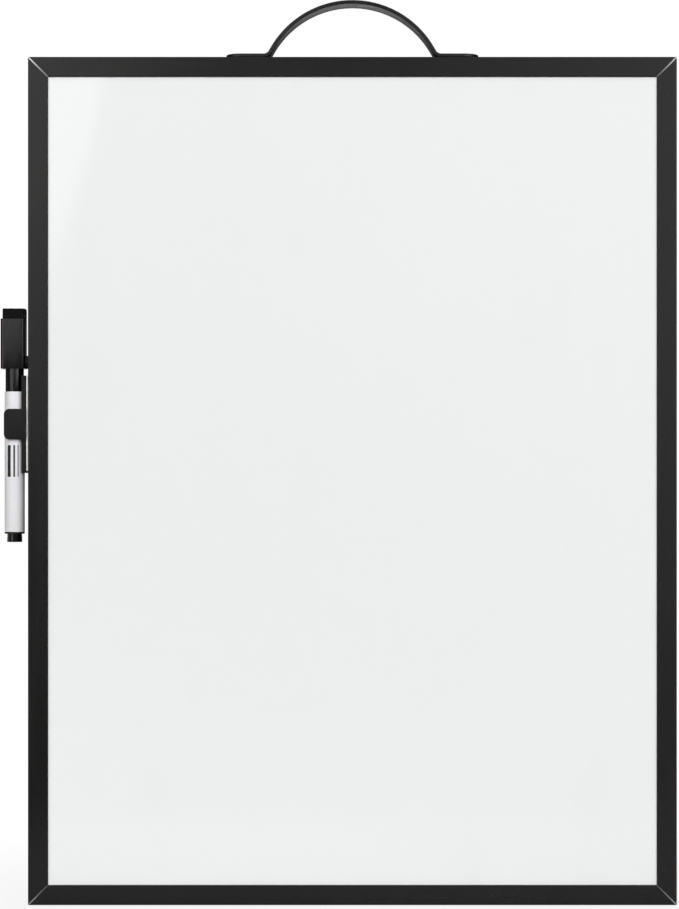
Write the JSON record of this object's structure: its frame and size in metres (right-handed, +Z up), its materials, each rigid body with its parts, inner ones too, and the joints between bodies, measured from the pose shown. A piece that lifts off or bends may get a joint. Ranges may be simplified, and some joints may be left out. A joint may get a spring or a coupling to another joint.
{
  "type": "framed dry-erase board",
  "caption": "Portable portrait dry-erase board in a mitred black aluminium frame, with an arched strap carry handle and a capped marker held in a side clip.",
  "frame": {"origin": "middle of the bottom edge that the board stands on, half way through its depth", "axes": "+Z up along the board's height, +X to the right as the front is looked at, +Y towards the back; the marker is on the -X side"},
  "size_m": [0.3193, 0.015, 0.4269],
  "materials": {
    "frame_black": "satin",
    "handle_black": "satin",
    "writing_white": "gloss",
    "honeycomb_core": "matte",
    "key_plastic": "matte",
    "screw_steel": "satin",
    "plated_steel": "satin",
    "clip_black": "matte",
    "tape_foam": "matte",
    "barrel_white": "gloss",
    "marker_black": "gloss",
    "seal_grey": "matte",
    "nib_fibre": "matte",
    "ink_fibre": "matte",
    "eraser_black": "matte",
    "magnet_nickel": "polished"
  },
  "bodies": {
    "board": {"top_rail": "frame_black", "bottom_rail": "frame_black", "left_rail": "frame_black", "right_rail": "frame_black", "front_writing_sheet": "writing_white", "back_writing_sheet": "writing_white", "panel_core": "honeycomb_core", "corner_key_top_left": "key_plastic", "corner_key_top_right": "key_plastic", "corner_key_bottom_left": "key_plastic", "corner_key_bottom_right": "key_plastic", "corner_screws": "screw_steel", "handle": "handle_black", "handle_screws": "screw_steel", "handle_nut_plates": "plated_steel", "marker_holder": "clip_black", "holder_foam_tape": "tape_foam"},
    "marker": {"marker_barrel": "barrel_white", "marker_end_plug": "marker_black", "marker_neck": "marker_black", "marker_nib": "nib_fibre", "ink_reservoir": "ink_fibre"},
    "cap": {"marker_cap": "marker_black", "cap_seal": "seal_grey", "cap_magnet": "magnet_nickel", "eraser_felt": "eraser_black"}
  },
  "joints": [
    {"name": "marker_lift", "type": "slide", "parent": "board", "child": "marker", "axis": [0, 0, 1], "range_m": [0, 0.08]},
    {"name": "cap_pull", "type": "slide", "parent": "marker", "child": "cap", "axis": [0, 0, 1], "range_m": [0, 0.03]}
  ]
}
